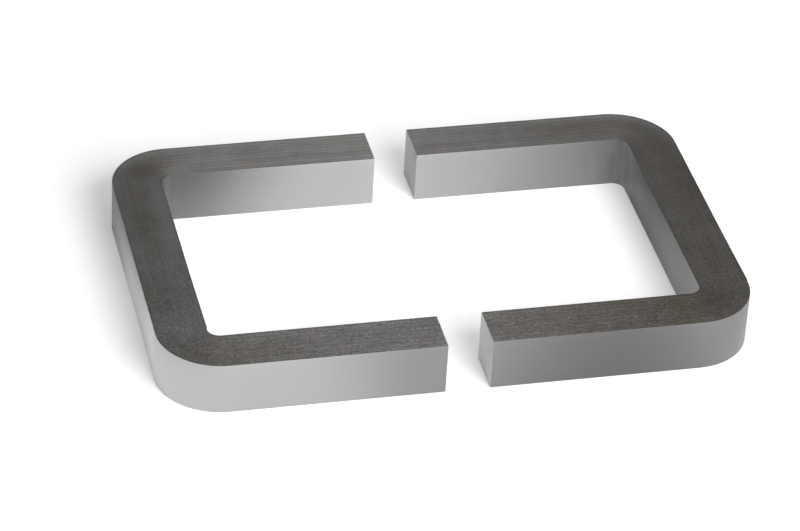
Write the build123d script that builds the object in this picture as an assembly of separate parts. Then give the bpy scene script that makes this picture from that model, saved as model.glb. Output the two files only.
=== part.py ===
from build123d import *
import os

# A cut transformer core. Steel strip is wound on a rectangular former, annealed, bonded with resin into
# one block, and sawn across both legs. That leaves two C-shaped halves, which a coil is slipped over
# before the lapped cut faces are brought together and the core is banded shut.
#
# Here the halves lie on their wound edge, drawn apart. X runs along the legs, Y across the window and Z up
# along the strip's width. The origin is on the surface they lie on, under the middle of the gap.

# Strip and winding, in millimetres.
strip_width = 25.0
strip_thickness = 0.305
turns_per_group = 4
turn_groups = 19

# Former that the strip is wound on, which leaves the window.
window_length = 205.0
window_width = 130.0
inner_radius = 5.5

# Distance between the cut faces as the halves lie.
gap = 20.5

# Turns wander sideways a little as they are wound. Each group of turns keeps the strip's width, and stands
# this far above the lowest group, so both wound edges show the turns as low concentric steps.
group_lifts = (0.0, 0.07, 0.02, 0.11, 0.05, 0.09, 0.03)

# The strip's two ends, beside the front corners. Seen from above, the strip is wound clockwise, so on the
# left yoke it runs away from its inner end towards +Y, and on the right yoke it comes to its outer end from
# +Y. Over the slope each end rises by one thickness above the turn beside it.
end_slope_length = 42.0
lead_end_y = -58.5
tail_end_y = -58.5

# Spot welds that hold the outer end down.
weld_diameter = 3.0
weld_depth = 0.10
weld_inset = 5.0
weld_edge_distance = 6.0

# Worked out from the sizes above.
group_thickness = turns_per_group * strip_thickness
build_up = turn_groups * group_thickness
half_window = window_length / 2
half_length = half_window + build_up
outer_lift = group_lifts[(turn_groups - 1) % len(group_lifts)]
inner_lift = group_lifts[0]


def outline(depth):
    """The winding's outline, that many millimetres of strip out from the former."""
    return RectangleRounded(window_length + 2 * depth, window_width + 2 * depth, inner_radius + depth)


def turn_group(number):
    """One closed ring of neighbouring turns that stand level with each other."""
    inside = number * group_thickness
    ring = outline(inside + group_thickness) - outline(inside)
    lift = group_lifts[number % len(group_lifts)]
    return Pos(0, 0, lift) * extrude(ring, strip_width)


def wound_block():
    """The whole winding before it is sawn: all groups of turns, bonded into one solid."""
    first, *others = [turn_group(number) for number in range(turn_groups)]
    return first + others


def side_of(block, direction):
    """The part of the block on one side of the saw cut, which is square to the legs."""
    keep_length = 2 * half_length
    keep_width = 2 * (window_width + 2 * build_up)
    keep_height = 4 * strip_width
    keep = Pos(direction * keep_length / 2, 0, 0) * Box(keep_length, keep_width, keep_height)
    return block & keep


def strip_end(face_x, outward, end_y, lift):
    """The last stretch of strip at one end of the winding, seen from above as a long thin wedge.

    It lies on the yoke face at face_x, rises towards outward, and stops square at end_y. Its root reaches
    into the turns that it is part of.
    """
    root_x = face_x - outward * group_thickness / 2
    start_y = end_y + end_slope_length
    profile = Polyline(
        (root_x, start_y),
        (face_x, start_y),
        (face_x + outward * strip_thickness, end_y),
        (root_x, end_y),
        close=True,
    )
    return Pos(0, 0, lift) * extrude(make_face(profile), strip_width, dir=(0, 0, 1))


def weld_dimples():
    """Two shallow round dimples, one near each edge of the strip, beside its outer end."""
    radius = (weld_diameter**2 / 4 + weld_depth**2) / (2 * weld_depth)
    y = tail_end_y + weld_inset
    rise = strip_thickness * (1 - weld_inset / end_slope_length)
    x = half_length + rise + radius - weld_depth
    heights = (weld_edge_distance, strip_width - weld_edge_distance)
    return [Pos(x, y, outer_lift + z) * Sphere(radius) for z in heights]


def left_half(block):
    """The half with the strip's inner end, which lies in the window on the yoke's inner face."""
    lead = strip_end(-half_window, 1, lead_end_y, inner_lift)
    return Pos(-gap / 2, 0, 0) * (side_of(block, -1) + lead)


def right_half(block):
    """The half with the strip's outer end, spot welded to the yoke's outer face."""
    tail = strip_end(half_length, 1, tail_end_y, outer_lift)
    return Pos(gap / 2, 0, 0) * (side_of(block, 1) + tail - weld_dimples())


def write_parts():
    os.makedirs("parts", exist_ok=True)
    block = wound_block()
    export_step(left_half(block), "parts/left_half_core.step")
    export_step(right_half(block), "parts/right_half_core.step")


write_parts()
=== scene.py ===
# %% [markdown]
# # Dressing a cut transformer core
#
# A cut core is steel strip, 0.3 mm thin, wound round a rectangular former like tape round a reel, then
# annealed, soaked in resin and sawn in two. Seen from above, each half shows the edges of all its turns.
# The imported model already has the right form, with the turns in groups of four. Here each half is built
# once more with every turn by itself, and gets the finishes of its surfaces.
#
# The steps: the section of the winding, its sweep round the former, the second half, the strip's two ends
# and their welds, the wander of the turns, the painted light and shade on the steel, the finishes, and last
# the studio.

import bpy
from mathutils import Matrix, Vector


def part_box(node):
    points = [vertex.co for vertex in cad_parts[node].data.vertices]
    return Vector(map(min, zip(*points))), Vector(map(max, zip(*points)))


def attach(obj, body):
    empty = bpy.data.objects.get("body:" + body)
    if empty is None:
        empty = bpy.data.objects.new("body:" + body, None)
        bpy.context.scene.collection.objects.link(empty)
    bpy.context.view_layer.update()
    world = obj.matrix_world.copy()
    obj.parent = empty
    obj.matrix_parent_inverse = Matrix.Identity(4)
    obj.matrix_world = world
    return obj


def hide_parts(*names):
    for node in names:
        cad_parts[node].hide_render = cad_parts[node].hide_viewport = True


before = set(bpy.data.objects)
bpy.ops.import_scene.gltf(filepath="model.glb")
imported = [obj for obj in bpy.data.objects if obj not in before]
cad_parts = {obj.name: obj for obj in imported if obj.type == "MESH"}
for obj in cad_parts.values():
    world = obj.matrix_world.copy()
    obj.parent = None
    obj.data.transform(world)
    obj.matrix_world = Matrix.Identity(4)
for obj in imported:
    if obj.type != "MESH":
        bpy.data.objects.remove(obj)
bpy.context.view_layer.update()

# %% Tools of the script
import random
from math import atan2, cos, floor, hypot, pi, radians, sin, sqrt

import bmesh
import bpy
from mathutils import Matrix, Vector

MM = 0.001

# %% [markdown]
# ## Sizes
#
# The strip and its former have the sizes that the real core is ordered by. Everything else follows from
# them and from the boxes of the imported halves, so a change of the core's length needs no change here.

# %% Strip, winding and legs
strip_width = 25.0 * MM
strip_thickness = 0.305 * MM
turns_per_group = 4
turn_groups = 19
turns = turns_per_group * turn_groups
group_lifts = [lift * MM for lift in (0.0, 0.07, 0.02, 0.11, 0.05, 0.09, 0.03)]
inner_radius = 5.5 * MM

left_low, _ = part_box("left_half_core")
right_low, right_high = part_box("right_half_core")
half_gap = right_low.x
build_up = turns * strip_thickness
outer_y = right_high.y
window_y = outer_y - build_up
corner_y = window_y - inner_radius
yoke_outer = -left_low.x - half_gap
yoke_inner = yoke_outer - build_up
leg_length = yoke_inner - inner_radius
middle_radius = inner_radius + build_up / 2
print("build-up", round(build_up / MM, 2), "mm, leg", round(leg_length / MM, 2), "mm")

# %% [markdown]
# ## The section of the winding
#
# The sawn end of a leg shows 76 strips side by side. No winder lays every turn level, so the turns rise and
# fall by about a tenth of a millimetre in slow waves across the pack, and a hair more from one turn to the
# next. Such steps could be cut into the finished half, or made by a bump in its material. But a bump leaves
# the outline straight, and the finished half has 50,000 points to move. So they are made in the section,
# which has 600, and the sweep carries them round.
#
# A grid stood on edge gives four columns of faces per strip. Its top and bottom points are pushed up and
# down, a shallow groove is left where two strips meet, as the resin shrinks back there, and the two outer
# corners are rounded, as the maker breaks these sharp edges.

# %% Select by place
def deselect_all():
    """Nothing stays selected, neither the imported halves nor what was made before."""
    for thing in bpy.context.selected_objects:
        thing.select_set(False)


def select_points(piece, wanted):
    """In edit mode, selects the points whose place wanted() says yes to, and only those."""
    bpy.ops.mesh.select_all(action="DESELECT")
    bpy.ops.mesh.select_mode(type="VERT")
    mesh = bmesh.from_edit_mesh(piece.data)
    for point in mesh.verts:
        if wanted(point.co):
            point.select_set(True)
    mesh.select_flush(True)
    bmesh.update_edit_mesh(piece.data)


def select_faces(piece, wanted):
    """In edit mode, selects the faces whose middle wanted() says yes to, and only those."""
    bpy.ops.mesh.select_all(action="DESELECT")
    bpy.ops.mesh.select_mode(type="FACE")
    mesh = bmesh.from_edit_mesh(piece.data)
    for face in mesh.faces:
        if wanted(face.calc_center_median()):
            face.select_set(True)
    bmesh.update_edit_mesh(piece.data)


# %% A grid across the front leg's sawn end
columns_per_turn = 4
columns_per_group = turns_per_group * columns_per_turn
last_line = turns * columns_per_turn
column = strip_thickness / columns_per_turn

deselect_all()
bpy.ops.mesh.primitive_grid_add(x_subdivisions=last_line, y_subdivisions=1, size=1)
section = bpy.context.object
section.name = "left_wound_half"
section.scale = (build_up, strip_width, 1)
section.rotation_euler = (pi / 2, 0, pi / 2)
section.location = (-half_gap, -window_y - build_up / 2, strip_width / 2)
bpy.ops.object.transform_apply(location=True, rotation=True, scale=True)
print("section:", len(section.data.polygons), "columns")

# %% How high the pack stands at each column line
broken_edge = 0.2 * MM


def wave_level(line):
    """The pack's slow wave at a column line: the groups' heights, joined smoothly from middle to middle."""
    place = min(max(line / columns_per_group - 0.5, 0), turn_groups - 1)
    before = floor(place)
    after = min(before + 1, turn_groups - 1)
    share = place - before
    share = share * share * (3 - 2 * share)
    lifts = [group_lifts[group % len(group_lifts)] for group in (before, after)]
    return lifts[0] * (1 - share) + lifts[1] * share


def edge_drop(line):
    """How far the rounded outer corners of the pack lie below its edge at a column line."""
    depth = min(line, last_line - line) * column
    if depth >= broken_edge:
        return 0
    return broken_edge - sqrt(broken_edge**2 - (broken_edge - depth)**2)


levels = [wave_level(line) for line in range(last_line + 1)]
print("the wave rises by up to", round(max(levels) / MM, 2), "mm")

# %% Lay every turn at its own height
groove = 0.012 * MM
unevenness = 0.02 * MM
hand = random.Random(3)


def column_number(place):
    """Which column line of the section a point is on, counted from the window outwards."""
    return round((-place.y - window_y) / column)


# A line where two turns meet follows the one that stands back, so that the groove lies below both.
top_shifts = [-hand.uniform(0, unevenness) for turn in range(turns)]
bottom_shifts = [hand.uniform(0, unevenness) for turn in range(turns)]
bpy.ops.object.mode_set(mode="EDIT")
for line in range(last_line + 1):
    after = min(line // columns_per_turn, turns - 1)
    before = max((line - 1) // columns_per_turn, 0)
    dip = groove if line % columns_per_turn == 0 else 0
    dip = max(dip, edge_drop(line))
    top = wave_level(line) + min(top_shifts[before], top_shifts[after]) - dip
    bottom = wave_level(line) + max(bottom_shifts[before], bottom_shifts[after]) + dip
    select_points(section, lambda p: column_number(p) == line and p.z > strip_width / 2)
    bpy.ops.transform.translate(value=(0, 0, top))
    select_points(section, lambda p: column_number(p) == line and p.z < strip_width / 2)
    bpy.ops.transform.translate(value=(0, 0, bottom))
print("laid", turns, "turns")

# %% [markdown]
# ## Winding it round the former
#
# A winding keeps its section all the way round. Each turn runs straight along a leg, round the corner at
# its own radius about one common centre, and straight again. A curve with the section as its bevel could do
# that too. Extruding the section and spinning it about the corner's centre is nearer to what the winding
# machine does, and it decides where the mesh has its edges.

# %% Sweep the section along leg, corner, yoke, corner and leg
corner_steps = 16
merge_distance = column / 20
corner_x = -half_gap - leg_length
select_faces(section, lambda middle: True)
bpy.ops.mesh.extrude_region_move(TRANSFORM_OT_translate={"value": (-leg_length, 0, 0)})
bpy.ops.mesh.spin(steps=corner_steps, angle=pi / 2, center=(corner_x, -corner_y, 0), axis=(0, 0, 1))
bpy.ops.mesh.extrude_region_move(TRANSFORM_OT_translate={"value": (0, 2 * corner_y, 0)})
bpy.ops.mesh.spin(steps=corner_steps, angle=pi / 2, center=(corner_x, corner_y, 0), axis=(0, 0, 1))
bpy.ops.mesh.extrude_region_move(TRANSFORM_OT_translate={"value": (leg_length, 0, 0)})
bpy.ops.mesh.select_all(action="SELECT")
bpy.ops.mesh.remove_doubles(threshold=merge_distance)
bpy.ops.mesh.normals_make_consistent(inside=False)
bpy.ops.object.mode_set(mode="OBJECT")
left_half = section
print("one half:", len(left_half.data.polygons), "faces")

# %% [markdown]
# ## The other half
#
# The saw parts one winding, so the second half is the first one's mirror image. A Mirror modifier would keep
# both in one piece, but the halves come apart, so the first is copied with a mesh of its own and mirrored by
# a negative scale. That turns a shape inside out, and its normals are made to point outwards again.

# %% Copy and mirror
deselect_all()
right_half = left_half.copy()
right_half.data = left_half.data.copy()
right_half.name = "right_wound_half"
bpy.context.scene.collection.objects.link(right_half)
bpy.context.view_layer.objects.active = right_half
right_half.select_set(True)
right_half.scale = (-1, 1, 1)
bpy.ops.object.transform_apply(location=False, rotation=False, scale=True)
bpy.ops.object.mode_set(mode="EDIT")
bpy.ops.mesh.select_all(action="SELECT")
bpy.ops.mesh.normals_make_consistent(inside=False)
bpy.ops.object.mode_set(mode="OBJECT")
print("made", right_half.name)

# %% [markdown]
# ## The strip's two ends
#
# The strip starts inside the window of one half and stops on the outside of the other, both times as a
# step one strip thick across the yoke, beside the front corner. From there it sinks into the winding over a
# few centimetres. A separate wedge laid on the wall would leave a seam, so the wedge is drawn out of the
# wall itself: the wall is cut at both places, the field between them is extruded by one thickness, and its
# far side is pushed back to the wall.

# %% Raise a strip end on a yoke
end_slope_length = 42.0 * MM
lead_end_y = -58.5 * MM
tail_end_y = -58.5 * MM
# Places closer together than this count as the same.
near = strip_thickness / 10


def edit(piece):
    """Makes this piece alone active, in edit mode."""
    deselect_all()
    bpy.context.view_layer.objects.active = piece
    piece.select_set(True)
    bpy.ops.object.mode_set(mode="EDIT")


def slice_across(place, direction):
    """In edit mode, cuts the whole piece at a plane and keeps both sides."""
    bpy.ops.mesh.select_all(action="SELECT")
    bpy.ops.mesh.bisect(plane_co=place, plane_no=direction)


def raise_strip_end(piece, wall_x, end_y):
    """A strip end on the yoke's wall at wall_x: a step towards +X at end_y, and a slope back from there."""
    start_y = end_y + end_slope_length
    edit(piece)
    for y in (end_y, start_y):
        slice_across((0, y, 0), (0, 1, 0))
    select_faces(piece, lambda middle: abs(middle.x - wall_x) < near and end_y < middle.y < start_y)
    bpy.ops.mesh.extrude_region_move(TRANSFORM_OT_translate={"value": (strip_thickness, 0, 0)})
    raised_x = wall_x + strip_thickness
    select_points(piece, lambda p: abs(p.x - raised_x) < near and abs(p.y - start_y) < near)
    bpy.ops.transform.translate(value=(-strip_thickness, 0, 0))
    bpy.ops.mesh.select_all(action="SELECT")
    bpy.ops.mesh.remove_doubles(threshold=merge_distance)
    bpy.ops.object.mode_set(mode="OBJECT")


left_wall = -half_gap - yoke_inner
right_wall = half_gap + yoke_outer
raise_strip_end(left_half, left_wall, lead_end_y)
raise_strip_end(right_half, right_wall, tail_end_y)
print("strip ends at x", round(left_wall / MM, 2), "and", round(right_wall / MM, 2), "mm")

# %% [markdown]
# ### Spot welds
#
# Two spot welds hold the outer end down. The electrodes leave a round dent in the strip, a tenth of a
# millimetre deep. The wall's faces are long and few there, so pushing points down can't give a round dent.
# The dent is cut with a flattened ball and a Boolean modifier, which adds points only where the ball meets
# the wall.

# %% Press the weld dents
weld_diameter = 3.0 * MM
weld_depth = 0.10 * MM
weld_inset = 5.0 * MM
weld_edge_distance = 6.0 * MM
weld_y = tail_end_y + weld_inset
weld_x = right_wall + strip_thickness * (1 - weld_inset / end_slope_length)
outer_level = wave_level(last_line)
weld_heights = [outer_level + weld_edge_distance, outer_level + strip_width - weld_edge_distance]

for height in weld_heights:
    deselect_all()
    bpy.ops.mesh.primitive_uv_sphere_add(segments=40, ring_count=20, radius=1)
    electrode = bpy.context.object
    electrode.scale = (weld_diameter / 2, weld_diameter / 2, weld_depth)
    electrode.rotation_euler = (0, pi / 2, 0)
    electrode.location = (weld_x, weld_y, height)
    bpy.ops.object.transform_apply(location=True, rotation=True, scale=True)
    deselect_all()
    bpy.context.view_layer.objects.active = right_half
    right_half.select_set(True)
    dent = right_half.modifiers.new("weld_dent", "BOOLEAN")
    dent.operation = "DIFFERENCE"
    dent.solver = "EXACT"
    dent.object = electrode
    bpy.ops.object.modifier_apply(modifier=dent.name)
    bpy.data.objects.remove(electrode)
print("right half after the weld dents:", len(right_half.data.polygons), "faces")

# %% [markdown]
# ## Turns that wander
#
# A turn doesn't keep its height along the winding either. The long straight faces are sliced every few
# millimetres, and each turn's edge then sinks and rises by a few hundredths of a millimetre. Random steps
# from slice to slice would look torn, so a Displace modifier reads the shift from a soft noise that is laid
# out along the winding by a UV map: slow along a turn, and different from one turn to the next. It only ever
# moves points inwards, so the halves keep their size.
#
# One weakness is left. A point on the line between two turns follows one of them, and Blender doesn't always
# choose the same one. So the height of such points differs between runs, by up to 0.02 mm.
#
# A second UV map, "winding", stays on the halves. It holds real lengths along and across the strip, and the
# finishes use it for everything that follows the strip.

# %% Where a point or face lies on the winding
def place_on_winding(p):
    """How far along the middle turn a point lies, from the yoke's middle, and how deep from the window."""
    reach = abs(p.x) - half_gap
    side = 1 if p.y > 0 else -1
    beyond_x = reach - leg_length
    beyond_y = abs(p.y) - corner_y
    if beyond_x <= 0:
        return side * (corner_y + pi / 2 * middle_radius - beyond_x), abs(p.y) - window_y
    if beyond_y <= 0:
        return p.y, reach - yoke_inner
    along = corner_y + atan2(beyond_y, beyond_x) * middle_radius
    return side * along, hypot(beyond_x, beyond_y) - inner_radius


def surface_of(face):
    """Which of the half's surfaces a face is part of. A face that looks up or down is on a wound edge."""
    if abs(face.normal.z) > 0.5:
        return "wound edge"
    if abs(face.center.x) - half_gap < near:
        return "cut face"
    return "strip face"


to_cut_face, _ = place_on_winding(Vector((-half_gap, outer_y, 0)))
print("middle turn from the yoke's middle to the cut face:", round(to_cut_face / MM, 1), "mm")

# %% Lay out UV maps
# One wave of a turn's wander is about this long.
wander_length = 45.0 * MM
# Neighbouring turns lie this far apart in the noise, so they move alike, but not the same.
turn_spread = 0.37


def lay_out(piece, name, place_of):
    """A UV map whose coordinates place_of() gives for each face and point."""
    layer = piece.data.uv_layers.new(name=name)
    points = piece.data.vertices
    for face in piece.data.polygons:
        for loop in face.loop_indices:
            point = points[piece.data.loops[loop].vertex_index].co
            layer.data[loop].uv = place_of(face, point)


def on_turns(face, point):
    """Coordinates for the wander: slow along the winding, and far enough apart from turn to turn."""
    along, _ = place_on_winding(point)
    _, depth = place_on_winding(face.center)
    return along / wander_length, int(depth / strip_thickness) * turn_spread


def on_surface(face, point):
    """Coordinates for the finishes, in metres: along the winding, and across it."""
    along, depth = place_on_winding(point)
    kind = surface_of(face)
    if kind == "wound edge":
        return along, depth
    if kind == "cut face":
        return depth, point.z
    return along, point.z


# %% Slice the straights and shift the edges
slice_length = 6.0 * MM
wander = 0.03 * MM


def slice_straights(piece):
    """Cuts the legs and the yoke across every few millimetres."""
    edit(piece)
    side = 1 if piece is right_half else -1
    for step in range(1, int(leg_length / slice_length) + 1):
        slice_across((side * (half_gap + step * slice_length), 0, 0), (1, 0, 0))
    count = round(2 * corner_y / slice_length)
    for step in range(1, count):
        slice_across((0, -corner_y + step * 2 * corner_y / count, 0), (0, 1, 0))
    bpy.ops.object.mode_set(mode="OBJECT")


def shift_edges(piece):
    """Lets each turn's edge wander, inwards only."""
    points = piece.data.vertices
    for name, is_top in (("top", True), ("bottom", False)):
        group = piece.vertex_groups.new(name=name)
        group.add([p.index for p in points if (p.co.z > strip_width / 2) == is_top], 1.0, "ADD")
        cloud = bpy.data.textures.new(f"wander_{name}", "CLOUDS")
        cloud.noise_scale = 1.0
        shift = piece.modifiers.new(f"wander_{name}", "DISPLACE")
        shift.texture = cloud
        shift.texture_coords = "UV"
        shift.uv_layer = "turns"
        shift.vertex_group = name
        shift.direction = "Z"
        shift.mid_level = 1.0 if is_top else 0.0
        shift.strength = wander
        bpy.ops.object.modifier_apply(modifier=shift.name)


# %% Give both halves their wander
# The right half reads the noise at another place, so that its turns don't repeat the left half's.
noise_offsets = {left_half: 0.0, right_half: 7.3}
smooth_below = radians(30)

for piece, offset in noise_offsets.items():
    slice_straights(piece)
    lay_out(piece, "winding", on_surface)
    lay_out(piece, "turns", lambda face, point: [c + offset for c in on_turns(face, point)])
    shift_edges(piece)
    piece.data.uv_layers.remove(piece.data.uv_layers["turns"])
    bpy.ops.object.shade_smooth_by_angle(angle=smooth_below)
    print(piece.name, sum(len(face.vertices) - 2 for face in piece.data.polygons), "triangles")

# %% [markdown]
# ## Painted light and shade along the strip
#
# The walls, wound edges and cut faces get paler and darker stretches painted into their colour. These are
# painted reflection and shade: they stand in for the soft reflections and shade that light gives the steel,
# such as the darker inner corners. A noise could do that, but it would put them anywhere. So they are drawn
# as a few long spells along the winding, each strongest at its middle and gone at its ends. Where spells
# overlap, they multiply. The outcome goes into an attribute at every corner of every face, and the finishes
# multiply their colour by it.

# %% Spells of painted light and shade along the winding
# Each spell: where its middle is and how far it reaches, in millimetres along the winding from the middle
# of the yoke, negative towards the front leg, and the share of brightness at its middle. A share under 1
# paints shade, and one above 1 paints a paler reflection.
painted_shading_spells = {
    ("left_wound_half", "outer"): (
        (-58, 29, 1.33), (-188, 95, 0.46), (-87, 63, 0.6), (91, 132, 0.24),
    ),
    ("left_wound_half", "inner"): ((87, 85, 0.27), (170, 65, 0.54)),
    ("right_wound_half", "outer"): ((-210, 129, 0.68), (-118, 170, 0.18)),
    ("right_wound_half", "inner"): (
        (-50, 60, 0.52), (89, 75, 0.37), (20, 89, 0.24), (60, 15, 1.76), (156, 113, 0.47),
    ),
    ("left_wound_half", "edge"): (
        (-71, 109, 0.64), (-58, 25, 1.23), (176, 25, 1.1), (35, 39, 0.93),
    ),
    ("right_wound_half", "edge"): (
        (134, 63, 0.84), (-24, 58, 0.65), (-177, 66, 0.75), (-102, 81, 0.5),
    ),
    ("left_wound_half", "cut"): ((-184, 80, 0.85),),
    ("right_wound_half", "cut"): ((184, 80, 0.8),),
}

# On some walls the painted light and shade also changes across the strip, from its lower edge to its upper
# edge. These spells have two shares: one for the strip's lower edge, and one for its upper edge.
leaning_painted_shading = {
    ("left_wound_half", "outer"): ((17, 93, 1.7, 0.6), (-159, 110, 0.66, 0.58)),
    ("left_wound_half", "inner"): ((87, 73, 0.91, 0.52),),
    ("right_wound_half", "inner"): ((54, 31, 0.65, 1.5), (77, 28, 1.47, 0.6), (-3, 55, 1.09, 0.74)),
}

# Patches of painted light and shade on the wound edges have two numbers more: how deep from the window
# their middle is, and how far they reach that way. Most lie round the corners.
painted_shading_patches = {
    "left_wound_half": (
        (76, 20, 0.67, 9, 16), (37, 78, 0.72, 15, 14), (-57, 76, 1.16, 3, 16), (-177, 65, 0.8, 11, 22),
    ),
    "right_wound_half": (
        (-84, 27, 0.77, 7, 18), (74, 73, 0.73, 3, 7), (30, 50, 0.55, 19, 30), (89, 56, 0.62, 13, 12),
    ),
}
print("spells:", sum(len(row) for row in painted_shading_spells.values()), "on", len(painted_shading_spells), "surfaces")

# %% The painted light and shade at a place
# No painted highlight gets paler than this, or the steel would give back more light than falls on it.
palest = 1.2


def surface_side(face):
    """Which row of the tables a face's painted light and shade comes from."""
    kind = surface_of(face)
    if kind != "strip face":
        return {"wound edge": "edge", "cut face": "cut"}[kind]
    _, depth = place_on_winding(face.center)
    return "outer" if depth > build_up / 2 else "inner"


def fade(distance):
    """1 at no distance, and smoothly down to 0 at a distance of 1 or more."""
    return (1 - min(distance, 1)**2)**2


print("half way out, a spell has", round(fade(0.5), 2), "of its strength")


def painted_shading_at(spells, leaning, patches, along, depth, rise):
    """How bright the painted light and shade makes a place on the winding. rise goes from 0 to 1 over the
    strip's width.
    """
    painted_shading = 1.0
    for middle, reach, share in spells:
        painted_shading *= 1 - fade(abs(along / MM - middle) / reach) * (1 - share)
    for middle, reach, lower, upper in leaning:
        painted_shading *= 1 - fade(abs(along / MM - middle) / reach) * (1 - lower - (upper - lower) * rise)
    for middle, reach, share, middle_depth, depth_reach in patches:
        strength = fade(abs(along / MM - middle) / reach) * fade(abs(depth / MM - middle_depth) / depth_reach)
        painted_shading *= 1 - strength * (1 - share)
    return min(painted_shading, palest)


# %% Write the painted light and shade on both halves
def paint_shading(piece):
    """Writes the painted light and shade of each face corner into an attribute of the mesh."""
    tones = piece.data.attributes.new("painted_shading", "FLOAT", "CORNER")
    points = piece.data.vertices
    for face in piece.data.polygons:
        side = surface_side(face)
        spells = painted_shading_spells[piece.name, side]
        leaning = leaning_painted_shading.get((piece.name, side), ())
        patches = painted_shading_patches[piece.name] if side == "edge" else ()
        for loop in face.loop_indices:
            point = points[piece.data.loops[loop].vertex_index].co
            rise = min(max(point.z / strip_width, 0), 1)
            tones.data[loop].value = painted_shading_at(spells, leaning, patches, *place_on_winding(point), rise)


for piece in (left_half, right_half):
    paint_shading(piece)
    values = [item.value for item in piece.data.attributes["painted_shading"].data]
    print(piece.name, "tone from", round(min(values), 2), "to", round(max(values), 2))

# %% [markdown]
# ## Finishes
#
# Each surface gets a material for what it is on the real core. Patterns read either the object's own
# coordinates or the UV map "winding". Both are in metres, so a noise whose scale is one divided by a length
# has features of about that length. One small function adds a node with its settings and its links.

# %% Helpers for materials
def linear(colour):
    """A colour written as sRGB hex digits, in the linear values that shaders use."""
    parts = [int(colour[i:i + 2], 16) / 255 for i in (0, 2, 4)]
    return [c / 12.92 if c <= 0.04045 else ((c + 0.055) / 1.055)**2.4 for c in parts] + [1.0]


def new_material(name):
    """An empty material with that name, and its tree of nodes."""
    material = bpy.data.materials.new(name)
    material.use_nodes = True
    material.node_tree.nodes.clear()
    return material, material.node_tree


def node(tree, kind, feeds=None, **settings):
    """Adds a node. feeds gives its inputs, each a value or another node's output."""
    made = tree.nodes.new(kind)
    for name, value in settings.items():
        setattr(made, name, value)
    for name, value in (feeds or {}).items():
        if isinstance(value, bpy.types.NodeSocket):
            tree.links.new(value, made.inputs[name])
        else:
            made.inputs[name].default_value = value
    return made


print("half way in sRGB, 808080, is", round(linear("808080")[0], 3), "in linear values")

# %% [markdown]
# ### Strip faces
#
# The walls of a half are the broad faces of its first and last turn: cold-rolled silicon steel under a grey
# glassy annealing coat, a few thousandths of a millimetre thin. The eye sees an even satin grey, with faint
# roll marks along the strip and no sharp reflection. The long soft spells in which it darkens and pales are
# painted reflection and shade. Bare metal would mirror the floor along its lower edge, and plain enamel would
# look like paint. A finish that is half metal and half grey enamel lies between them, as the coat does.

# %% Annealed strip face
# Roll marks are hundredths of a millimetre wide and run on for metres. Marks that fine wouldn't show, so
# they are drawn as wide as a pixel of the photograph.
roll_mark_length = 90 * MM
roll_mark_width = 0.6 * MM
coat_cloud = 20 * MM
coat_cloud_share = 0.6
coat_bump = 0.01 * MM
dark_coat = "E0E0E0"
pale_coat = "E9E9E9"

strip_face, tree = new_material("annealed_cold_rolled_silicon_steel")
winding = node(tree, "ShaderNodeUVMap", uv_map="winding").outputs["UV"]
place = node(tree, "ShaderNodeTexCoord").outputs["Object"]
painted_shading = node(tree, "ShaderNodeAttribute", attribute_name="painted_shading").outputs["Fac"]
stretched = node(tree, "ShaderNodeMapping", {
    "Vector": winding, "Scale": (1 / roll_mark_length, 1 / roll_mark_width, 1),
}).outputs["Vector"]
roll_marks = node(tree, "ShaderNodeTexNoise", {
    "Vector": stretched, "Scale": 1.0, "Detail": 2.0,
}).outputs["Fac"]
clouds = node(tree, "ShaderNodeTexNoise", {
    "Vector": place, "Scale": 1 / coat_cloud, "Detail": 2.0,
}).outputs["Fac"]
blend = node(tree, "ShaderNodeMix", {
    "Factor": coat_cloud_share, "A": roll_marks, "B": clouds,
}).outputs["Result"]
colour = node(tree, "ShaderNodeMix", {
    "Factor": blend, "A": linear(dark_coat), "B": linear(pale_coat),
}, data_type="RGBA").outputs["Result"]
# The coat's grey is multiplied by the painted light and shade along the strip.
colour = node(tree, "ShaderNodeMix", {
    "Factor": 1.0, "A": colour, "B": painted_shading,
}, data_type="RGBA", blend_type="MULTIPLY").outputs["Result"]
print(strip_face.name, "roll marks", roll_mark_width / MM, "mm wide")

# %% [markdown]
# Where the strip's outer end is spot welded, the heat has burnt the coat: a blue-black spot in each dent,
# with a straw-coloured rim. The distance from the weld's middle gives both.

# %% Burnt spots of the welds, and the shader
burnt_radius = 2.2 * MM
straw_radius = 4.0 * MM
burnt = "6F6E78"
straw = "D8C9A6"
heat_strength = 0.8

for height in weld_heights:
    away = node(tree, "ShaderNodeVectorMath", {
        0: place, 1: (weld_x, weld_y, height),
    }, operation="DISTANCE").outputs["Value"]
    for radius, tint in ((straw_radius, straw), (burnt_radius, burnt)):
        share = node(tree, "ShaderNodeMapRange", {
            "Value": away, "From Min": radius, "From Max": radius / 2, "To Max": heat_strength,
        }, interpolation_type="SMOOTHSTEP").outputs["Result"]
        colour = node(tree, "ShaderNodeMix", {
            "Factor": share, "A": colour, "B": linear(tint),
        }, data_type="RGBA", blend_type="MULTIPLY").outputs["Result"]
rough = node(tree, "ShaderNodeMapRange", {"Value": blend, "To Min": 0.50, "To Max": 0.60}).outputs["Result"]
bump = node(tree, "ShaderNodeBump", {"Height": roll_marks, "Strength": 0.3, "Distance": coat_bump})
shader = node(tree, "ShaderNodeBsdfPrincipled", {
    "Base Color": colour, "Metallic": 0.5, "Roughness": rough, "Normal": bump.outputs["Normal"],
})
node(tree, "ShaderNodeOutputMaterial", {"Surface": shader.outputs["BSDF"]})
print(len(tree.nodes), "nodes")
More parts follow.
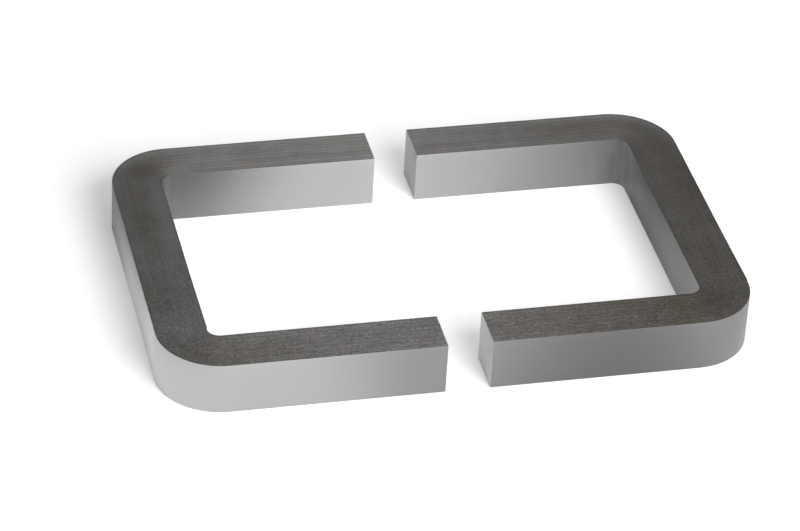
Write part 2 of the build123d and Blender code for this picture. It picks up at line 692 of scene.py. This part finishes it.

# %% [markdown]
# ### Wound edges
#
# The broad top and bottom are the slit edges of all the turns, with dark resin between them. The slitter
# leaves them bare and a little rough, and the resin wets them unevenly. From a step away the turns blur into
# a dark grey with soft streaks along the winding, with paler and darker stretches of painted reflection and
# shade. The front legs are rougher and show light specks, where a burr was rubbed bright, and small pits,
# where the resin has crumbled out. The rear legs are smoother. Where the painted shade is darkest, the grey
# turns brownish.
#
# Streaks are noise stretched along the winding, in two sizes. Clouds of resin and the grain of the burrs are
# plain noise. A drawn line for each turn would be truer, but at 0.305 mm a turn is about a pixel, and such
# lines flicker. The grooves in the mesh show the single turns up close.

# %% The patterns of the wound edge
# A real streak is one turn wide, which would be a pixel here. So streaks are drawn about seven turns wide,
# and bands about sixteen. The first number of each is its length along the winding.
streak_size = (30 * MM, 2.0 * MM)
band_size = (140 * MM, 5.0 * MM)
resin_cloud = 12 * MM
hue_cloud = 9 * MM
# Burrs are a tenth of a millimetre or less. Their grain is drawn coarser, or it would blur away.
burr_grain = 1.4 * MM

wound_edge, tree = new_material("slit_silicon_steel_edges_in_resin")
winding = node(tree, "ShaderNodeUVMap", uv_map="winding").outputs["UV"]
place = node(tree, "ShaderNodeTexCoord").outputs["Object"]
painted_shading = node(tree, "ShaderNodeAttribute", attribute_name="painted_shading").outputs["Fac"]
streaks, bands = (node(tree, "ShaderNodeTexNoise", {
    "Vector": node(tree, "ShaderNodeMapping", {
        "Vector": winding, "Scale": (1 / length, 1 / width, 1),
    }).outputs["Vector"],
    "Scale": 1.0, "Detail": 3.0, "Roughness": 0.6,
}).outputs["Fac"] for length, width in (streak_size, band_size))
clouds, hues, grain = (node(tree, "ShaderNodeTexNoise", {
    "Vector": place, "Scale": 1 / size, "Detail": 3.0, "Roughness": 0.6,
}).outputs["Fac"] for size in (resin_cloud, hue_cloud, burr_grain))
print(wound_edge.name, "streaks", streak_size[1] / MM, "mm wide")

# %% Rough in front, smooth behind
rear_coarseness = 0.3
front_coarseness = 1.0
streak_weight = 0.6
grain_weight = 1.9
band_weight = 0.4
cloud_weight = 0.6
level_of_dark_steel = 0.05
level_of_pale_steel = 0.95
noise_middle = 0.5

towards_rear = node(tree, "ShaderNodeSeparateXYZ", {"Vector": place}).outputs["Y"]
coarse = node(tree, "ShaderNodeMapRange", {
    "Value": towards_rear, "From Min": window_y, "From Max": -window_y,
    "To Min": rear_coarseness, "To Max": front_coarseness,
}, interpolation_type="SMOOTHSTEP").outputs["Result"]
rough_streaks, rough_grain = (node(tree, "ShaderNodeMath", {
    0: node(tree, "ShaderNodeMath", {0: pattern, 1: noise_middle}, operation="SUBTRACT").outputs[0],
    1: coarse,
}, operation="MULTIPLY").outputs[0] for pattern in (streaks, grain))
weights = (
    (rough_streaks, streak_weight), (rough_grain, grain_weight), (bands, band_weight), (clouds, cloud_weight),
)
level = 0.0
for pattern, weight in weights:
    level = node(tree, "ShaderNodeMath", {
        0: pattern, 1: weight, 2: level,
    }, operation="MULTIPLY_ADD").outputs[0]
level = node(tree, "ShaderNodeMapRange", {
    "Value": level, "From Min": level_of_dark_steel, "From Max": level_of_pale_steel,
}).outputs["Result"]
print("summed", len(weights), "patterns, coarser in front by", round(front_coarseness / rear_coarseness, 1))

# %% Steel and resin
# The colour turns brown where the painted shade is darkest, the hue drifts a little everywhere, and the
# sharp borders are darker, as resin clings there.
dark_steel = "747373"
pale_steel = "A6A5A5"
brownest_tint = "FFF0DD"
greyest_tint = "FFFFFE"
painted_shading_for_brownest = 0.35
painted_shading_for_greyest = 0.8
warm_hue = "FFFBF8"
cool_hue = "FCFFFC"
# A noise keeps mostly between these two values, so that part is stretched over both hues.
noise_low = 0.35
noise_high = 0.65
resin_border = 0.7 * MM
border_tone = 0.85

steel = node(tree, "ShaderNodeMix", {
    "Factor": level, "A": linear(dark_steel), "B": linear(pale_steel),
}, data_type="RGBA").outputs["Result"]
# Greyer where the painted light is paler, and browner where the painted shade is darker.
thin = node(tree, "ShaderNodeMapRange", {
    "Value": painted_shading, "From Min": painted_shading_for_brownest, "From Max": painted_shading_for_greyest,
}).outputs["Result"]
resin = node(tree, "ShaderNodeMix", {
    "Factor": thin, "A": linear(brownest_tint), "B": linear(greyest_tint),
}, data_type="RGBA").outputs["Result"]
hue = node(tree, "ShaderNodeMapRange", {
    "Value": hues, "From Min": noise_low, "From Max": noise_high,
}).outputs["Result"]
hue = node(tree, "ShaderNodeMix", {
    "Factor": hue, "A": linear(warm_hue), "B": linear(cool_hue),
}, data_type="RGBA").outputs["Result"]
depth = node(tree, "ShaderNodeSeparateXYZ", {"Vector": winding}).outputs["Y"]
off_middle = node(tree, "ShaderNodeMath", {0: depth, 1: build_up / 2}, operation="SUBTRACT").outputs[0]
off_middle = node(tree, "ShaderNodeMath", {0: off_middle}, operation="ABSOLUTE").outputs[0]
border = node(tree, "ShaderNodeMapRange", {
    "Value": off_middle,
    "From Min": build_up / 2 - 2 * resin_border, "From Max": build_up / 2 - resin_border / 2,
    "To Min": 1.0, "To Max": border_tone,
}).outputs["Result"]
# The painted light and shade multiplies the steel's colour first, then the brown, the hue and the borders.
colour = steel
for tint in (painted_shading, resin, hue, border):
    colour = node(tree, "ShaderNodeMix", {
        "Factor": 1.0, "A": colour, "B": tint,
    }, data_type="RGBA", blend_type="MULTIPLY").outputs["Result"]
print("steel from", dark_steel, "to", pale_steel, "before tone, resin, hue and border")

# %% [markdown]
# Specks and pits could be modelled one by one, but there are far too many, each smaller than a pixel. So
# they come from a cell pattern. Each cell has a random colour, and its red part decides whether the cell
# holds a dot and how large it is, so the dots differ in size and many cells stay empty. The dots are larger
# where the clouds are high and towards the front, and they fade where the painted shade is dark.

# %% Bright burrs and crumbled pits
# For each kind of dot: how wide its cells are, the share of cells that stay empty, how large a dot gets as a
# share of that width, and its colour. The burrs come first, then the pits. Real ones go down to a few
# hundredths of a millimetre, too fine to show, so they are drawn coarser.
dots = (
    (1.5 * MM, 0.35, 0.35, "BBBAB7"),
    (3.0 * MM, 0.55, 0.18, "444340"),
)

# crowd scales how large the dots get, and strength how clearly their colour shows.
crowd = node(tree, "ShaderNodeMapRange", {
    "Value": clouds, "From Min": 0.40, "From Max": 0.65, "To Min": 0.45, "To Max": 1.0,
}).outputs["Result"]
crowd = node(tree, "ShaderNodeMath", {0: crowd, 1: coarse}, operation="MULTIPLY").outputs[0]
strength = node(tree, "ShaderNodeMapRange", {"Value": painted_shading, "To Min": 0.05, "To Max": 0.6}).outputs["Result"]
front = node(tree, "ShaderNodeMapRange", {
    "Value": coarse, "From Min": 0.85, "From Max": 1.0, "To Min": 0.8, "To Max": 1.35,
}).outputs["Result"]
strength = node(tree, "ShaderNodeMath", {0: strength, 1: front}, operation="MULTIPLY").outputs[0]
for spacing, empty_share, largest, shade in dots:
    cells = node(tree, "ShaderNodeTexVoronoi", {"Vector": place, "Scale": 1 / spacing})
    chance = node(tree, "ShaderNodeSeparateColor", {"Color": cells.outputs["Color"]}).outputs["Red"]
    radius = node(tree, "ShaderNodeMapRange", {
        "Value": chance, "From Min": empty_share, "From Max": 1.0, "To Max": largest,
    }).outputs["Result"]
    radius = node(tree, "ShaderNodeMath", {0: radius, 1: crowd}, operation="MULTIPLY").outputs[0]
    inside = node(tree, "ShaderNodeMath", {
        0: cells.outputs["Distance"], 1: radius,
    }, operation="LESS_THAN").outputs[0]
    amount = node(tree, "ShaderNodeMath", {0: inside, 1: strength}, operation="MULTIPLY").outputs[0]
    colour = node(tree, "ShaderNodeMix", {
        "Factor": amount, "A": colour, "B": linear(shade),
    }, data_type="RGBA").outputs["Result"]
print("dots in cells of", [round(spacing / MM, 2) for spacing, *_ in dots], "mm")

# %% [markdown]
# Grooves along the winding spread a highlight across it, which a plain roughness can't give. So this finish
# is anisotropic. Its tangent follows the UV map, and it is turned a quarter, so that the grain runs along
# the winding.

# %% The shader of the wound edge
edge_bump = 0.03 * MM

along = node(tree, "ShaderNodeTangent", direction_type="UV_MAP", uv_map="winding").outputs["Tangent"]
rough = node(tree, "ShaderNodeMapRange", {"Value": grain, "To Min": 0.42, "To Max": 0.60}).outputs["Result"]
bump = node(tree, "ShaderNodeBump", {"Height": level, "Strength": 0.3, "Distance": edge_bump})
shader = node(tree, "ShaderNodeBsdfPrincipled", {
    "Base Color": colour, "Metallic": 0.75, "Roughness": rough, "Normal": bump.outputs["Normal"],
    "Anisotropic": 0.5, "Anisotropic Rotation": 0.25, "Tangent": along,
})
node(tree, "ShaderNodeOutputMaterial", {"Surface": shader.outputs["BSDF"]})
print(len(tree.nodes), "nodes")

# %% [markdown]
# ### Cut faces
#
# The saw leaves the legs' ends rough, so they are ground and lapped until the halves meet without a gap. The
# eye sees a matt mid grey, with the strips as faint upright lines and soft clouds from the lapping. A wave
# pattern could draw the lines, but waves are too even, so they are a noise that is stretched upright.

# %% Lapped cut face
# A strip is 0.305 mm thick, finer than a pixel, so the lines are drawn about four strips wide.
line_width = 1.2 * MM
line_length = 60 * MM
lapping_cloud = 7 * MM
lapping_cloud_share = 0.4
dark_lapping = "B9B9B8"
pale_lapping = "CACAC9"

cut_face, tree = new_material("lapped_silicon_steel_ends")
winding = node(tree, "ShaderNodeUVMap", uv_map="winding").outputs["UV"]
place = node(tree, "ShaderNodeTexCoord").outputs["Object"]
painted_shading = node(tree, "ShaderNodeAttribute", attribute_name="painted_shading").outputs["Fac"]
stretched = node(tree, "ShaderNodeMapping", {
    "Vector": winding, "Scale": (1 / line_width, 1 / line_length, 1),
}).outputs["Vector"]
strips = node(tree, "ShaderNodeTexNoise", {
    "Vector": stretched, "Scale": 1.0, "Detail": 2.0,
}).outputs["Fac"]
clouds = node(tree, "ShaderNodeTexNoise", {
    "Vector": place, "Scale": 1 / lapping_cloud, "Detail": 2.0,
}).outputs["Fac"]
blend = node(tree, "ShaderNodeMix", {
    "Factor": lapping_cloud_share, "A": strips, "B": clouds,
}).outputs["Result"]
colour = node(tree, "ShaderNodeMix", {
    "Factor": blend, "A": linear(dark_lapping), "B": linear(pale_lapping),
}, data_type="RGBA").outputs["Result"]
# The lapped grey is multiplied by the painted light and shade.
colour = node(tree, "ShaderNodeMix", {
    "Factor": 1.0, "A": colour, "B": painted_shading,
}, data_type="RGBA", blend_type="MULTIPLY").outputs["Result"]
rough = node(tree, "ShaderNodeMapRange", {"Value": clouds, "To Min": 0.44, "To Max": 0.56}).outputs["Result"]
shader = node(tree, "ShaderNodeBsdfPrincipled", {"Base Color": colour, "Metallic": 0.9, "Roughness": rough})
node(tree, "ShaderNodeOutputMaterial", {"Surface": shader.outputs["BSDF"]})
print(cut_face.name, len(tree.nodes), "nodes")

# %% Give each surface its finish
finishes = {"strip face": strip_face, "wound edge": wound_edge, "cut face": cut_face}
for piece in (left_half, right_half):
    piece.data.materials.clear()
    for finish in finishes.values():
        piece.data.materials.append(finish)
    for face in piece.data.polygons:
        face.material_index = list(finishes).index(surface_of(face))
print("finishes:", [finish.name for finish in finishes.values()])

# %% [markdown]
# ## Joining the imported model
#
# The right half slides towards the left one and away from it. Each new half rides on the body of the packed
# half that it stands for, so it moves with it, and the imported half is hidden.

# %% Ride and replace
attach(left_half, "left_half")
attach(right_half, "right_half")
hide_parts("left_half_core")
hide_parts("right_half_core")
print("riding:", left_half.name, "and", right_half.name)

# %% [markdown]
# ## The studio
#
# The core lies on a sheet of white paper that fills the whole picture. Under lamps alone it comes out light
# grey, and more light would bleach the steel. So the paper glows a little by itself, but only for the camera
# and for what mirrors it. None of that glow falls on the core, and the core's shadow still shows.

# %% Floor
# The sheet's width in metres, and how much it glows by itself, where 1 is white.
paper_size = 12
paper_glow = 0.28
paper_white = "F0F0F0"

deselect_all()
bpy.ops.mesh.primitive_plane_add(size=paper_size)
ground = bpy.context.object
ground.name = "floor"
paper, tree = new_material("white_paper")
rays = node(tree, "ShaderNodeLightPath")
seen = node(tree, "ShaderNodeMath", {
    0: rays.outputs["Is Camera Ray"], 1: rays.outputs["Is Glossy Ray"],
}, operation="MAXIMUM").outputs[0]
seen = node(tree, "ShaderNodeMath", {
    0: seen, 1: rays.outputs["Is Transmission Ray"],
}, operation="MAXIMUM").outputs[0]
glow = node(tree, "ShaderNodeMath", {0: seen, 1: paper_glow}, operation="MULTIPLY").outputs[0]
sheet = node(tree, "ShaderNodeBsdfPrincipled", {
    "Base Color": linear(paper_white), "Roughness": 1.0, "Specular IOR Level": 0.0,
    "Emission Color": (1, 1, 1, 1), "Emission Strength": glow,
})
node(tree, "ShaderNodeOutputMaterial", {"Surface": sheet.outputs["BSDF"]})
ground.data.materials.append(paper)
print("floor:", paper_size, "m wide")

# %% [markdown]
# ### Light
#
# The photograph's shadows are soft and fall to the left and rear. A sun lamp would draw them hard, so there
# is a large softbox, in front and a little to the right, a metre and a half up. A second, weaker one hangs
# nearly overhead and opens the shadows. The room round them is dim below and paler above, which keeps the
# walls of the core from going black.

# %% Two softboxes and the room
def softbox(name, azimuth, elevation, distance, size, watts):
    """A square area light on a sphere round the core, turned towards its middle. Angles are in degrees."""
    lamp = bpy.data.lights.new(name, "AREA")
    lamp.size = size
    lamp.energy = watts
    stand = bpy.data.objects.new(name, lamp)
    bpy.context.scene.collection.objects.link(stand)
    a, e = radians(azimuth), radians(elevation)
    direction = Vector((cos(a) * cos(e), sin(a) * cos(e), sin(e)))
    stand.location = direction * distance
    stand.rotation_euler = direction.to_track_quat("Z", "Y").to_euler()
    print(name, "at", [round(x, 2) for x in stand.location], "m")


softbox("key_softbox", azimuth=-70, elevation=36, distance=2.6, size=1.5, watts=78.0)
softbox("top_softbox", azimuth=-70, elevation=75, distance=2.6, size=2.0, watts=8.0)

# How strongly the room shines from its walls and below, and from straight above.
room_low = 0.08
room_high = 0.35
world = bpy.data.worlds.new("studio")
bpy.context.scene.world = world
world.use_nodes = True
tree = world.node_tree
tree.nodes.clear()
direction = node(tree, "ShaderNodeTexCoord").outputs["Generated"]
height = node(tree, "ShaderNodeSeparateXYZ", {"Vector": direction}).outputs["Z"]
glow = node(tree, "ShaderNodeMapRange", {
    "Value": height, "To Min": room_low, "To Max": room_high,
}).outputs["Result"]
sky = node(tree, "ShaderNodeBackground", {"Color": linear("FFFFFF"), "Strength": glow})
node(tree, "ShaderNodeOutputWorld", {"Surface": sky.outputs["Background"]})
print("room from", room_low, "to", room_high)

# %% [markdown]
# ### Camera
#
# The camera stands in front, a little to the left, and looks down at the core through a long lens. It could
# be set by eye, but then the core's edges would miss the photograph's by several pixels. So its place,
# angles and focal length came from a fit: the corners and straight edges of both halves were measured in
# the photograph, and a camera was sought that sees them there. The picture was taken with the camera tilted
# by a few degrees, which is the roll.

# %% Camera
camera_place = Vector((-0.36216, -1.35969, 0.96682))
camera_azimuth = radians(-14.4561)
camera_elevation = radians(34.3221)
camera_roll = radians(3.3397)
# The focal length in pixels, in a picture that is 800 pixels wide.
focal_pixels = 3691.3
frame_pixels = 800.0

lens = bpy.data.cameras.new("camera")
lens.sensor_width = 36.0
lens.lens = focal_pixels / frame_pixels * lens.sensor_width
lens.clip_end = 50
camera = bpy.data.objects.new("camera", lens)
bpy.context.scene.collection.objects.link(camera)
bpy.context.scene.camera = camera
back = Vector((
    sin(camera_azimuth) * cos(camera_elevation),
    -cos(camera_azimuth) * cos(camera_elevation),
    sin(camera_elevation),
))
level_right = (-back).cross(Vector((0, 0, 1))).normalized()
level_up = level_right.cross(-back)
right = level_right * cos(camera_roll) + level_up * sin(camera_roll)
up = level_up * cos(camera_roll) - level_right * sin(camera_roll)
camera.matrix_world = Matrix.Translation(camera_place) @ Matrix((right, up, back)).transposed().to_4x4()
bpy.context.scene.view_settings.view_transform = "Standard"
print("lens", round(lens.lens, 1), "mm")
